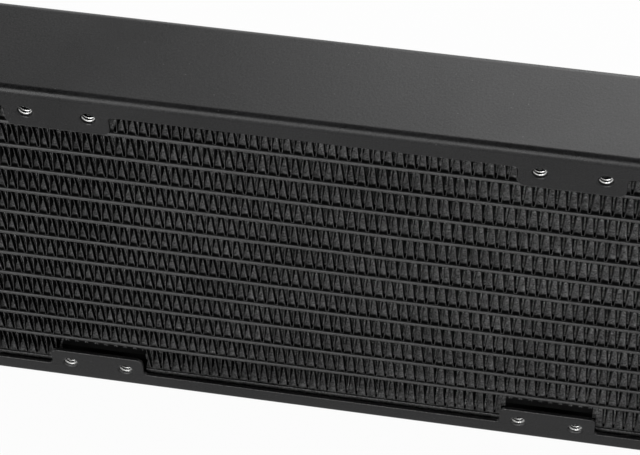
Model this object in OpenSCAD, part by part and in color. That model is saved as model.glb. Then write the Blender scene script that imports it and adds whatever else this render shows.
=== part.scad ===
// Slim liquid cooling radiator for three fans, standing on its long side.
// X runs along the radiator, the fan face looks towards -Y, and Z points up across the tubes.
// The origin is on the ground, under the middle of the radiator.

/* [Fans] */
// Fans side by side along the radiator
fan_count = 3; // [1:1:4]
// Width of one fan, and so the pitch of the fan positions
fan_size = 120; // [114:0.5:140]
// Distance between one fan's screw holes, both ways
fan_hole_span = 105; // [96:0.5:110]
// Diameter of a fan screw hole, over its thread
screw_hole_d = 3.5; // [2.6:0.1:4]
// From a screw hole's axis to the outside of the side plate
screw_inset = 7.5; // [6.8:0.1:9]
// How far a fan screw may reach in from the flange face
screw_reach = 6.5; // [4:0.1:8]

/* [Side plates] */
// Depth of the radiator from fan face to fan face
frame_depth = 27; // [25:0.5:60]
// Thickness of the side plate's sheet
plate_t = 1; // [0.8:0.1:1.4]
// Outer radius of the bend between web and flange
bend_r = 2.1; // [1.6:0.1:3.2]
// Width of the flange between the tabs, from the outside
flange_w = 6.1; // [5:0.1:7]
// From a screw hole's axis to the side of its tab
tab_margin = 5; // [4:0.1:7]
// From a screw hole's axis to the tip of its tab
tab_tip = 5.1; // [4:0.1:5.5]
// Radius of a tab's outer corners
tab_corner_r = 2; // [1:0.1:2.2]
// Radius in the corner between tab and flange
tab_root_r = 1; // [0.5:0.1:1.5]
// Diameter of the drawn collar round a screw hole
collar_d = 5; // [4.4:0.1:6]
// How far the drawn collar stands in from the flange
collar_h = 1.5; // [0.8:0.1:2]

/* [Core] */
// Flat tubes across the radiator
tube_count = 11; // [7:1:12]
// Thickness of a flat tube
tube_t = 1.3; // [1.2:0.1:2.4]
// Wall of a flat tube
tube_wall = 0.35; // [0.2:0.05:0.5]
// How far the tubes sit behind the flange face
core_recess = 2.4; // [2.2:0.1:5]
// How far the fins sit behind the tubes' noses
fin_setback = 0.4; // [0.2:0.1:1]
// Length of one full fin wave
fin_pitch = 2.62; // [2:0.02:4]
// Width of the flat where a fin wave meets a tube
fin_crest = 0.5; // [0.3:0.05:0.7]
// Thickness of the fin sheet
fin_t = 0.12; // [0.08:0.01:0.2]
// How much taller the outermost fin rows are than the others
outer_row_rise = 1.25; // [0:0.05:2]
// Height of the fin crests left standing on the tubes behind the tabs
fin_stub_h = 0.9; // [0.5:0.1:1.5]
// Thickness of the support strip outside the last fins
strip_t = 2; // [1.5:0.1:3]
// Air gap between the support strip and the side plate
strip_gap = 2.9; // [2:0.1:5]

/* [Tanks] */
// Length of a tank with its header plate
tank_l = 17; // [15:0.5:30]
// Wall of the tank
tank_wall = 1.2; // [0.8:0.1:1.6]
// Radius of the edges round the tank's end
tank_edge_r = 3; // [2.5:0.1:6]
// Thickness of the header plate's floor
header_t = 1.2; // [0.8:0.1:2]
// Thickness of the rim that the tank sits in
rim_t = 1; // [0.8:0.1:1.4]
// Depth of that rim along the radiator
rim_d = 4; // [3:0.1:6]
// How far the tubes stand through the header plate
tube_reach = 1.5; // [0.5:0.1:2.5]
// Thickness of the wall that parts inlet and outlet
baffle_t = 1.2; // [0.8:0.1:2]
// Gap that the brazing fills, at each brazed fit
braze_gap = 0.05; // [0.02:0.01:0.1]

/* [Ports] */
// Diameter of the port thread, over its crests
port_d = 13.2; // [12.8:0.1:13.6]
// Distance between inlet and outlet
port_spread = 60; // [40:1:80]
// Wall round the port thread, where it goes through the tank
port_wall = 1.4; // [1:0.1:2]
// Width of the shoulder that sits on the tank, outside that wall
port_shoulder = 1.2; // [0.8:0.1:2]
// How far a port's collar stands out of the tank
port_collar_h = 4; // [3:0.1:6]
// How deep a port reaches into the tank
port_spigot_l = 6; // [4:0.1:7]
// Bevel at the mouth of a port
port_bevel = 0.5; // [0.3:0.1:0.6]

/* [Bleed plug] */
// Height of the bleed port above the middle of the radiator
bleed_rise = 36; // [20:1:44]
// How far the bleed port's collar stands out of the tank
bleed_collar_h = 0.8; // [0.7:0.1:2]
// Thickness of the plug's head above its seal
plug_crown = 0.9; // [0.6:0.1:2]
// Thickness of the plug's head round its seal
plug_lip = 0.7; // [0.5:0.1:1.5]
// Bevel at the tip of the plug
plug_bevel = 0.6; // [0.3:0.1:1]
// Length of the plug's threaded shank
plug_shank_l = 6; // [4:0.1:7]
// Radial gap between shank and port
plug_gap = 0.1; // [0.05:0.01:0.2]
// Width across the flats of the plug's hexagon socket
plug_socket_w = 6; // [5:0.5:8]
// Depth of the hexagon socket
plug_socket_d = 3.5; // [2:0.1:5]
// Finger flutes round the plug's head
plug_flutes = 18; // [8:1:24]
// Diameter of a finger flute
plug_flute_d = 1.6; // [1:0.1:2]
// Thickness of the sealing ring
seal_d = 1.7; // [1.4:0.1:1.9]
// Clearance round the sealing ring, and under the plug's head
seal_gap = 0.3; // [0.25:0.01:0.35]

/* [Hidden] */
$fn = 64;
// How far a cutting shape reaches past the face that it cuts
cut = 1;

// Overall sizes
core_l = fan_count * fan_size;
frame_w = fan_hole_span + 2 * screw_inset;
mid_z = frame_w / 2;
end_x = core_l / 2 + tank_l;

// Side plate
tab_h = screw_inset + tab_tip;
tab_w = fan_size - fan_hole_span + 2 * tab_margin;
window_w = fan_size - tab_w;
fan_xs = [for (i = [0:fan_count - 1]) (i - (fan_count - 1) / 2) * fan_size];
hole_xs = [for (x = fan_xs, side = [-1, 1]) x + side * fan_hole_span / 2];
tab_xs = [for (i = [0:fan_count]) (i - fan_count / 2) * fan_size];

// Core, where each fin row fills the space between two neighbours but for its brazing
strip_low = plate_t + strip_gap;
strip_high = strip_low + strip_t;
core_d = frame_depth - 2 * core_recess;
fin_d = core_d - 2 * fin_setback;
row_count = tube_count + 1;
row_h = (frame_w - 2 * (strip_high + outer_row_rise) - tube_count * tube_t) / row_count;
tube_pitch = row_h + tube_t;
function tube_z(i) = mid_z + (i - (tube_count + 1) / 2) * tube_pitch;
function row_rise(i) = i == 1 || i == row_count ? outer_row_rise : 0;
function row_z(i) =
    mid_z + (i - (row_count + 1) / 2) * tube_pitch + (i == 1 ? -1 : 1) * row_rise(i) / 2;

// Fin wave: half waves are counted from the middle, and even ones are crests
half_wave = fin_pitch / 2;
leg_x = half_wave - fin_crest;
function leg_rise(i) = row_h + row_rise(i) - 2 * braze_gap - fin_t;
wave_end = 2 * floor((core_l / 2 - fin_pitch) / fin_pitch);

// Header, tank and ports
port_spigot_d = port_d + 2 * port_wall;
port_collar_d = port_spigot_d + 2 * port_shoulder;
rim_r = bend_r - rim_t;
tank_w = frame_w - 2 * (rim_t + braze_gap);
tank_d = frame_depth - 2 * (rim_t + braze_gap);
tank_x = core_l / 2 + header_t;
tank_h = end_x - tank_x;
baffle_z = tube_z(ceil(tube_count / 2)) + tube_pitch / 2;

// Bleed plug, measured along its axis from the face of its collar
bleed_z = mid_z + bleed_rise;
shank_d = port_d - 2 * plug_gap;
seal_ring_d = shank_d + 2 * seal_gap + seal_d;
groove_d = seal_ring_d + seal_d + 2 * seal_gap;
groove_top = seal_d + 2 * seal_gap;
plug_head_d = groove_d + 2 * plug_lip;
plug_head_top = groove_top + plug_crown;

paint = "#26272a";
fin_paint = "#2b2c2e";
nickel = "#b9bcbf";
rubber = "#161616";

function two_digits(i) = str(i < 10 ? "0" : "", i);
tube_names = [for (i = [1:tube_count]) str("tube_", two_digits(i))];
fin_names = [for (i = [1:row_count]) str("fin_strip_", two_digits(i))];

// Sweeps a Y-Z outline along X, from x = 0
module along_x(length) { rotate([90, 0, 90]) linear_extrude(length) children(); }

// Sweeps an X-Z outline along Y, evenly to both sides
module along_y(length) { rotate([90, 0, 0]) linear_extrude(length, center = true) children(); }

// Turns a shape made along +Z so that it points along +X
module pointing_x() { rotate([0, 90, 0]) children(); }

module rounded_rect(w, h, r) {
    square([w - 2 * r, h], center = true);
    square([w, h - 2 * r], center = true);
    for (x = [-1, 1], y = [-1, 1]) translate([x * (w / 2 - r), y * (h / 2 - r)]) circle(r);
}

// A bar with full round ends, long way along the first axis
module slot_outline(w, h) {
    square([w - h, h], center = true);
    for (x = [-1, 1]) translate([x * (w - h) / 2, 0]) circle(h / 2);
}

// Mirrors a piece of the lower side to the upper side
module to_upper_side() { translate([0, 0, mid_z]) mirror([0, 0, 1]) translate([0, 0, -mid_z]) children(); }

// Side plates: folded channels with screw tabs

// The folded sheet in section: web at the bottom and two flanges as tall as the tabs
module channel_outline() {
    inner_d = frame_depth - 2 * plate_t;
    intersection() {
        translate([0, tab_h]) difference() {
            rounded_rect(frame_depth, 2 * tab_h, bend_r);
            rounded_rect(inner_d, 2 * (tab_h - plate_t), bend_r - plate_t);
        }
        translate([-frame_depth / 2, 0]) square([frame_depth, tab_h]);
    }
}

// The gap between two tabs: rounded at its foot, with the tabs' own corners cut away at the top
module window_outline() {
    square_h = tab_h - flange_w + cut;
    translate([0, flange_w]) {
        translate([-window_w / 2 + tab_root_r, 0]) square([window_w - 2 * tab_root_r, square_h]);
        translate([-window_w / 2, tab_root_r]) square([window_w, square_h - tab_root_r]);
        for (side = [-1, 1]) translate([side * (window_w / 2 - tab_root_r), tab_root_r]) circle(tab_root_r);
    }
    for (side = [-1, 1]) translate([side * window_w / 2, tab_h - tab_corner_r]) difference() {
        translate([-tab_corner_r, 0]) square([2 * tab_corner_r, tab_corner_r + cut]);
        translate([side * tab_corner_r, 0]) circle(tab_corner_r);
    }
}

module side_plate() {
    color(paint) difference() {
        union() {
            translate([-core_l / 2, 0, 0]) along_x(core_l) channel_outline();
            for (x = hole_xs, side = [-1, 1])
                translate([x, side * (frame_depth / 2 - plate_t - collar_h / 2), screw_inset])
                    rotate([90, 0, 0]) cylinder(d = collar_d, h = collar_h, center = true);
        }
        for (x = fan_xs) translate([x, 0, 0]) along_y(frame_depth + 2 * cut) window_outline();
        for (x = hole_xs) translate([x, 0, screw_inset])
            rotate([90, 0, 0]) cylinder(d = screw_hole_d, h = frame_depth + 2 * cut, center = true);
    }
}

// Support strips: flat bars that close the core, notched behind the tabs where fan screws come in
module support_strip() {
    notch_y = frame_depth / 2 - screw_reach;
    color(paint) difference() {
        translate([-core_l / 2, -core_d / 2, strip_low]) cube([core_l, core_d, strip_t]);
        for (x = tab_xs, y = [notch_y, -notch_y - core_d])
            translate([x - tab_w / 2, y, strip_low - cut]) cube([tab_w, core_d, strip_t + 2 * cut]);
    }
}

// Flat tubes: two channels side by side, with a web between them
module tube(i) {
    half_l = core_l / 2 + header_t + tube_reach;
    channel_w = (core_d - 3 * tube_wall) / 2;
    color(fin_paint) translate([-half_l, 0, tube_z(i)]) along_x(2 * half_l) difference() {
        slot_outline(core_d, tube_t);
        for (side = [-1, 1]) translate([side * (channel_w + tube_wall) / 2, 0])
            slot_outline(channel_w, tube_t - 2 * tube_wall);
    }
}

// Fin strips: corrugated sheet, whose waves fill the height between two tubes

// Points of half wave k on the upper (up = 1) or lower (up = -1) face of a sheet whose legs rise by leg_z
function wave_points(k, up, leg_z) =
    let (crest = k % 2 == 0 ? 1 : -1)
    let (miter = fin_t / 2 * tan(atan2(leg_z, leg_x) / 2))
    [for (side = [-1, 1])
        [k * half_wave + side * (fin_crest / 2 + up * crest * miter), (crest * leg_z + up * fin_t) / 2]];

// Outline of the corrugated sheet from half wave k0 to half wave k1
function fin_outline(k0, k1, leg_z) = concat(
    [for (k = [k0:k1]) each wave_points(k, 1, leg_z)],
    [for (k = [k1:-1:k0], i = [1, 0]) wave_points(k, -1, leg_z)[i]]);

// Outline of one crest with its legs cut short
function stub_outline(k, leg_z) =
    let (crest = k % 2 == 0 ? 1 : -1)
    let (foot = [leg_x, -crest * leg_z] * fin_stub_h / leg_z)
    let (outer = wave_points(k, crest, leg_z), inner = wave_points(k, -crest, leg_z))
    [outer[0] + [-foot.x, foot.y], outer[0], outer[1], outer[1] + foot,
     inner[1] + foot, inner[1], inner[0], inner[0] + [-foot.x, foot.y]];

// Nearest half wave at or past x whose crest points the right way
function wave_from(x, odd) = 2 * ceil((x / half_wave - odd) / 2) + odd;
function wave_to(x, odd) = 2 * floor((x / half_wave - odd) / 2) + odd;

module fin_strip(i) {
    color(fin_paint) translate([0, 0, row_z(i)]) along_y(fin_d)
        if (i == 1 || i == row_count) outer_fin_outline(i == 1 ? 0 : 1, leg_rise(i));
        else polygon(fin_outline(-wave_end, wave_end, leg_rise(i)));
}

// Next to a side plate the fins are cut away behind the tabs, down to stubs on the tube
module outer_fin_outline(odd, leg_z) {
    for (x = fan_xs)
        polygon(fin_outline(wave_from(x - window_w / 2, odd), wave_to(x + window_w / 2, odd), leg_z));
    for (x = tab_xs)
        for (k = [wave_from(x - tab_w / 2, odd):2:wave_to(x + tab_w / 2, odd)])
            if (abs(k) <= wave_end) polygon(stub_outline(k, leg_z));
}

// Header plates: shallow trays that the tubes come through
module header_plate() {
    color(paint) translate([core_l / 2, 0, mid_z]) difference() {
        along_x(header_t + rim_d) rounded_rect(frame_depth, frame_w, bend_r);
        translate([header_t, 0, 0]) along_x(rim_d + cut)
            rounded_rect(frame_depth - 2 * rim_t, frame_w - 2 * rim_t, rim_r);
        for (i = [1:tube_count]) translate([-cut, 0, tube_z(i) - mid_z]) along_x(header_t + 2 * cut)
            slot_outline(core_d + 2 * braze_gap, tube_t + 2 * braze_gap);
    }
}

// Tanks: drawn caps, rounded round the end and open towards the header plate

// Outline of a cap seen from the side: square at the header, rounded at the end
module cap_outline(w, h, r) {
    translate([0, -w / 2]) square([h - r, w]);
    translate([0, -w / 2 + r]) square([h, w - 2 * r]);
    for (side = [-1, 1]) translate([h - r, side * (w / 2 - r)]) circle(r);
}

// A cap's body inset by the given wall all round, but not at its open side
module cap_body(inset) {
    w = tank_w - 2 * inset;
    d = tank_d - 2 * inset;
    h = tank_h - inset;
    r = tank_edge_r - inset;
    translate([tank_x, 0, mid_z]) intersection() {
        along_x(h) rounded_rect(d, w, rim_r - braze_gap);
        along_y(d) cap_outline(w, h, r);
        linear_extrude(w, center = true) cap_outline(d, h, r);
    }
}

module tank(port_zs) {
    color(paint) difference() {
        cap_body(0);
        cap_body(tank_wall);
        translate([tank_x - cut, 0, mid_z]) along_x(2 * cut)
            rounded_rect(tank_d - 2 * tank_wall, tank_w - 2 * tank_wall, rim_r - braze_gap);
        for (z = port_zs) translate([end_x, 0, z]) pointing_x()
            cylinder(d = port_spigot_d + 2 * braze_gap, h = 4 * tank_wall, center = true);
    }
}

// Parts the inlet tank, so that the liquid goes out through one half of the tubes and back through the other
module tank_baffle() {
    color(paint) intersection() {
        cap_body(tank_wall + braze_gap);
        translate([tank_x, -frame_depth / 2, baffle_z - baffle_t / 2]) cube([tank_l, frame_depth, baffle_t]);
    }
}

// Ports: threaded rings with a collar outside and a spigot through the tank's wall
module port(z, collar_h) {
    bore_r = port_d / 2;
    color(nickel) translate([end_x, 0, z]) pointing_x() rotate_extrude() polygon([
        [bore_r, -port_spigot_l], [port_spigot_d / 2, -port_spigot_l], [port_spigot_d / 2, 0],
        [port_collar_d / 2, 0], [port_collar_d / 2, collar_h],
        [bore_r + port_bevel, collar_h], [bore_r, collar_h - port_bevel]]);
}

// Bleed plug: fluted head with a groove for its seal, and a shank that fills the port
module bleed_plug() {
    color(nickel) at_bleed_port() difference() {
        rotate_extrude() polygon([
            [0, -plug_shank_l], [shank_d / 2 - plug_bevel, -plug_shank_l],
            [shank_d / 2, plug_bevel - plug_shank_l], [shank_d / 2, groove_top],
            [groove_d / 2, groove_top], [groove_d / 2, seal_gap],
            [plug_head_d / 2, seal_gap], [plug_head_d / 2, plug_head_top], [0, plug_head_top]]);
        for (i = [0:plug_flutes - 1]) rotate(i * 360 / plug_flutes)
            translate([plug_head_d / 2 + plug_flute_d / 4, 0, groove_top])
                cylinder(d = plug_flute_d, h = plug_crown + cut);
        translate([0, 0, plug_head_top - plug_socket_d])
            cylinder(d = plug_socket_w / cos(30), h = plug_socket_d + cut, $fn = 6);
    }
}

module bleed_plug_seal() {
    color(rubber) at_bleed_port() translate([0, 0, seal_gap + seal_d / 2])
        rotate_extrude() translate([seal_ring_d / 2, 0]) circle(d = seal_d);
}

// Puts a shape made along +Z on the face of the bleed port's collar, pointing out of the return tank
module at_bleed_port() {
    translate([-end_x - bleed_collar_h, 0, bleed_z]) rotate([0, -90, 0]) children();
}

module at_return_end() { mirror([1, 0, 0]) children(); }

side_plate();  // side_plate_bottom
to_upper_side() side_plate();  // side_plate_top
support_strip();  // support_strip_bottom
to_upper_side() support_strip();  // support_strip_top
for (i = [1:tube_count]) tube(i);
for (i = [1:row_count]) fin_strip(i);
header_plate();  // inlet_header_plate
at_return_end() header_plate();  // return_header_plate
tank([mid_z - port_spread / 2, mid_z + port_spread / 2]);  // inlet_tank
at_return_end() tank([bleed_z]);  // return_tank
tank_baffle();
port(mid_z + port_spread / 2, port_collar_h);  // inlet_port
port(mid_z - port_spread / 2, port_collar_h);  // outlet_port
at_return_end() port(bleed_z, bleed_collar_h);  // bleed_port
bleed_plug();
bleed_plug_seal();
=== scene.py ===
import math

import bmesh
import bpy
import numpy as np
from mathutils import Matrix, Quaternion, Vector
from mathutils.geometry import tessellate_polygon


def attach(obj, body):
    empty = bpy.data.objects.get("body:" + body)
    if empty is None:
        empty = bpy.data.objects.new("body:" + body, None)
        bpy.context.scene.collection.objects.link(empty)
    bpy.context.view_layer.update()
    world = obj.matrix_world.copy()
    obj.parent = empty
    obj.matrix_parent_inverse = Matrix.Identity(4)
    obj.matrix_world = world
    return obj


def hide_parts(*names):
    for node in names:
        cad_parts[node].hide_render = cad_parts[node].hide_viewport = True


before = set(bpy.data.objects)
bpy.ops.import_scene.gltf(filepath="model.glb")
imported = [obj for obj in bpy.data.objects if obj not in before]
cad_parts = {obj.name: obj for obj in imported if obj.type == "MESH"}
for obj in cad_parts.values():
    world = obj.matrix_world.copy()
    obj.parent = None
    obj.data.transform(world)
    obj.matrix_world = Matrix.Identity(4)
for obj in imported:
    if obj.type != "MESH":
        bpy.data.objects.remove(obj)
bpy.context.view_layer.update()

# The table: the radiator stands on a wide sheet of white card, in a room whose ceiling is dark.
# Three soft panels in front of it and two behind it give the light.
scene = bpy.context.scene
scene.view_settings.view_transform = "Standard"


def node(tree, kind, inputs=None, **options):
    """Adds one shader node; options set its menus, inputs give its sockets values or other nodes' outputs."""
    made = tree.nodes.new("ShaderNode" + kind)
    for name, value in options.items():
        setattr(made, name, value)
    for name, value in (inputs or {}).items():
        if isinstance(value, bpy.types.NodeSocket):
            tree.links.new(value, made.inputs[name])
        else:
            made.inputs[name].default_value = value
    return made


def math_node(tree, operation, first, second=0.0):
    """One arithmetic step between two sockets or numbers; gives its output socket."""
    return node(tree, "Math", {0: first, 1: second}, operation=operation).outputs[0]


def empty_material(name):
    """A material with nothing but its output node; gives the material, its tree and that node."""
    material = bpy.data.materials.new(name)
    material.use_nodes = True
    tree = material.node_tree
    tree.nodes.clear()
    return material, tree, node(tree, "OutputMaterial")


def noise(tree, place, scale, detail):
    """Noise with so many waves to the metre and so many finer layers; gives its output socket."""
    return node(tree, "TexNoise", {"Vector": place, "Scale": scale, "Detail": detail}).outputs["Fac"]


card_seen = 0.96
card_mirrored = 0.25


def white_card():
    """White card: it scatters the lamps' light. The camera sees it nearly as plain white, and a gloss sees a
    quarter of that."""
    material, tree, output = empty_material("white_card")
    path = node(tree, "LightPath").outputs
    direct = math_node(tree, "MAXIMUM", path["Is Camera Ray"], path["Is Transmission Ray"])
    mirrored = math_node(tree, "MULTIPLY", path["Is Glossy Ray"], card_mirrored)
    place = node(tree, "TexCoord").outputs["Object"]
    fibre = noise(tree, place, 40.0, 4.0)
    tone = node(tree, "ValToRGB", {"Fac": fibre})
    tone.color_ramp.elements[0].color = (0.78, 0.78, 0.78, 1)
    tone.color_ramp.elements[1].color = (0.82, 0.82, 0.82, 1)
    matt = node(tree, "BsdfDiffuse", {"Color": tone.outputs["Color"]})
    white = node(tree, "Emission", {"Color": (1, 1, 1, 1), "Strength": 1.0})
    share = math_node(tree, "MAXIMUM", math_node(tree, "MULTIPLY", direct, card_seen), mirrored)
    mixed = node(tree, "MixShader", {"Fac": share, 1: matt.outputs[0], 2: white.outputs[0]})
    tree.links.new(mixed.outputs[0], output.inputs["Surface"])
    return material


floor_half = 6.0
floor_mesh = bpy.data.meshes.new("card")
floor_corners = floor_half * np.array([(-1, -1, 0), (1, -1, 0), (1, 1, 0), (-1, 1, 0)])
floor_mesh.from_pydata(floor_corners.tolist(), [], [(0, 1, 2, 3)])
floor_mesh.materials.append(white_card())
floor = bpy.data.objects.new("card", floor_mesh)
scene.collection.objects.link(floor)


def room_light():
    """The room: white round the horizon, and fading to dark overhead."""
    world = bpy.data.worlds.new("room")
    world.use_nodes = True
    tree = world.node_tree
    tree.nodes.clear()
    direction = node(tree, "TexCoord").outputs["Generated"]
    height = node(tree, "SeparateXYZ", {"Vector": direction}).outputs["Z"]
    fade = node(tree, "ValToRGB", {"Fac": height})
    fade.color_ramp.elements[0].color = (1, 1, 1, 1)
    fade.color_ramp.elements[0].position = 0.06
    fade.color_ramp.elements[1].color = (0.03, 0.03, 0.03, 1)
    fade.color_ramp.elements[1].position = 0.5
    light = node(tree, "Background", {"Color": fade.outputs["Color"], "Strength": 1.0})
    output = node(tree, "OutputWorld", {"Surface": light.outputs[0]})
    output.is_active_output = True
    return world


scene.world = room_light()


def soft_panel(name, place, aim, size, brightness):
    """A soft panel of the given width and height in metres; its face is so many times as bright as white."""
    lamp = bpy.data.lights.new(name, "AREA")
    lamp.shape = "RECTANGLE"
    lamp.size, lamp.size_y = size
    lamp.energy = brightness * math.pi * size[0] * size[1]
    panel = bpy.data.objects.new(name, lamp)
    panel.location = place
    panel.rotation_euler = (Vector(aim) - Vector(place)).to_track_quat("-Z", "Y").to_euler()
    scene.collection.objects.link(panel)


radiator_middle = (0.0, 0.0, 0.08)
soft_panel("front_panel", (-0.62, -1.22, 0.8), radiator_middle, (0.6, 0.95), 5.2)
soft_panel("key_panel", (0.03, -1.25, 0.78), radiator_middle, (0.42, 0.85), 4.0)
soft_panel("fill_panel", (0.2, -1.4, 0.45), radiator_middle, (2.0, 0.6), 0.7)
soft_panel("back_panel", (-0.1, 1.1, 0.77), radiator_middle, (2.0, 1.5), 1.05)
soft_panel("right_panel", (0.4, 1.0, 0.86), radiator_middle, (1.0, 1.2), 3.8)

camera_place = Vector((0.06725, -0.35144, 0.54229))
camera_aim = Vector((0.00148, -0.0135, 0.08187))
camera_roll = math.radians(-1.8033)
camera_data = bpy.data.cameras.new("camera")
camera_data.sensor_width = 36.0
camera_data.lens = 135.351
camera_data.clip_start = 0.02
camera = bpy.data.objects.new("camera", camera_data)
camera.location = camera_place
camera_turn = (camera_aim - camera_place).to_track_quat("-Z", "Y") @ Quaternion((0, 0, 1), camera_roll)
camera.rotation_euler = camera_turn.to_euler()
scene.collection.objects.link(camera)
scene.camera = camera

# Flat tubes: eleven drawn aluminium tubes with two channels side by side, painted black with the core.
# They carry the liquid from tank to tank, and are brazed into the header plates at their ends.
mm = 0.001
core_half = 180.0
radiator_height = 120.0
fin_rows = 12
rows_height = 107.0
tube_names = [f"tube_{number:02d}" for number in range(1, fin_rows)]
tube_depth = 22.2
tube_thick = 1.3
tube_wall = 0.35
tube_half_length = 182.7
tube_pitch = rows_height / fin_rows
tube_heights = radiator_height / 2 + tube_pitch * (np.arange(1, fin_rows) - fin_rows / 2)


def remap(tree, value, given, wanted=(0.0, 1.0)):
    """A value carried from the given range to the wanted one and held at its ends; gives its output."""
    ends = {"From Min": given[0], "From Max": given[1], "To Min": wanted[0], "To Max": wanted[1]}
    return node(tree, "MapRange", {"Value": value, **ends}).outputs[0]


def blend(tree, share, first, second):
    """A colour between two others, by the second one's share; gives its output socket."""
    return node(tree, "Mix", {0: share, 6: first, 7: second}, data_type="RGBA").outputs[2]


def scaled(tree, colour, factor):
    """A colour times a factor; gives its output socket."""
    return node(tree, "VectorMath", {0: colour, "Scale": factor}, operation="SCALE").outputs[0]


def grey(level):
    """A neutral colour."""
    return (level, level, level, 1)


def new_group(name, inputs, outputs):
    """A node group with the given sockets and kinds; gives the group, what comes in and what goes out."""
    group = bpy.data.node_groups.new(name, "ShaderNodeTree")
    for way, sockets in (("INPUT", inputs), ("OUTPUT", outputs)):
        for socket, kind in sockets.items():
            group.interface.new_socket(socket, in_out=way, socket_type="NodeSocket" + kind)
    given = group.nodes.new("NodeGroupInput").outputs
    return group, given, group.nodes.new("NodeGroupOutput").inputs


dust_size = 0.09
dust_rarity = 0.82
peel_share = 0.7


def paint_grain():
    """Sprayed paint as a group: slow clouds shift tone and gloss, a fine orange peel gives height, and a few
    grains of dust under the paint stand out paler."""
    inputs = {"Vector": "Vector", "Colour": "Color", "Dust": "Color", "Gloss": "Float"}
    outputs = {"Colour": "Color", "Roughness": "Float", "Height": "Float"}
    group, given, out = new_group("paint_grain", inputs, outputs)
    place = given["Vector"]
    cloud = noise(group, place, 45.0, 3.0)
    peel = noise(group, place, 1500.0, 2.0)
    grit = noise(group, place, 5200.0, 1.0)
    cells = node(group, "TexVoronoi", {"Vector": place, "Scale": 520.0})
    near = math_node(group, "LESS_THAN", cells.outputs["Distance"], dust_size)
    pick = node(group, "SeparateColor", {"Color": cells.outputs["Color"]}).outputs[0]
    rare = math_node(group, "GREATER_THAN", pick, dust_rarity)
    dust = math_node(group, "MULTIPLY", near, rare)
    spread = remap(group, cloud, (0.25, 0.75), (0.75, 1.3))
    fleck = noise(group, place, 2300.0, 2.0)
    flecked = remap(group, fleck, (0.3, 0.7), (0.3, 2.0))
    toned = scaled(group, given["Colour"], math_node(group, "MULTIPLY", spread, flecked))
    speckled = blend(group, dust, toned, given["Dust"])
    shift = remap(group, cloud, (0.25, 0.75), (-0.05, 0.05))
    fine = remap(group, grit, (0.2, 0.8), (-0.05, 0.05))
    rough = math_node(group, "ADD", given["Gloss"], shift)
    rough = math_node(group, "ADD", rough, fine)
    low = math_node(group, "MULTIPLY", peel, peel_share)
    high = math_node(group, "MULTIPLY", grit, 1 - peel_share)
    height = math_node(group, "ADD", low, high)
    group.links.new(speckled, out["Colour"])
    group.links.new(rough, out["Roughness"])
    group.links.new(height, out["Height"])
    return group


grain_group = paint_grain()


def spray_reach():
    """How far sprayed paint gets in between the fins, as a group: whole at a distance from the middle plane,
    none a given run further in, with a ragged line between. Past it lies a patchy mist on the bare metal,
    and its second output also grows from 0.7 to 2.4 over the first five millimetres in, making the bare
    metal lighter further in: painted light, standing in for light that reaches deep into the core."""
    inputs = {"Vector": "Vector", "Distance": "Float", "Run": "Float"}
    group, given, out = new_group("spray_reach", inputs, {"Painted": "Float", "MistAndPaintedLight": "Float"})
    depth = node(group, "SeparateXYZ", {"Vector": given["Vector"]}).outputs["Y"]
    depth = math_node(group, "ABSOLUTE", depth)
    mist = noise(group, given["Vector"], 900.0, 2.0)
    ragged = remap(group, mist, (0.25, 0.75), (-0.0003, 0.0003))
    depth = math_node(group, "ADD", depth, ragged)
    inner = math_node(group, "SUBTRACT", given["Distance"], given["Run"])
    painted = remap(group, depth, (inner, given["Distance"]))
    patchy = remap(group, mist, (0.3, 0.7), (0.55, 1.3))
    # Painted light: further in, the bare metal is made lighter, standing in for light that reaches deep into
    # the core.
    inward = math_node(group, "SUBTRACT", given["Distance"], depth)
    bare_and_painted_light = remap(group, inward, (0.0, 0.005), (0.7, 2.4))
    thin = math_node(group, "MULTIPLY", patchy, bare_and_painted_light)
    group.links.new(painted, out["Painted"])
    group.links.new(thin, out["MistAndPaintedLight"])
    return group


reach_group = spray_reach()


def coat(tree, output, looks, relief, height):
    """A Principled surface with the given looks, raised by a height of up to the relief in metres."""
    bump = node(tree, "Bump", {"Strength": 1.0, "Distance": relief, "Height": height}).outputs[0]
    skin = node(tree, "BsdfPrincipled", {**looks, "Normal": bump})
    tree.links.new(skin.outputs[0], output.inputs["Surface"])


core_black = (0.0015, 0.0015, 0.0016, 1)
core_relief = 0.00001
spray_run = 0.0004
low_rows = (0.022, 0.027)
low_row_reach = 0.0005
low_row_shade = 0.8
# Windows between the tabs repeat every 120 mm. Within the given half width of a window's middle the strips'
# tops keep the pale colour; behind the tabs they are black, a painted shade.
fan_half = 0.06
lit_window_half = 0.0485


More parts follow.
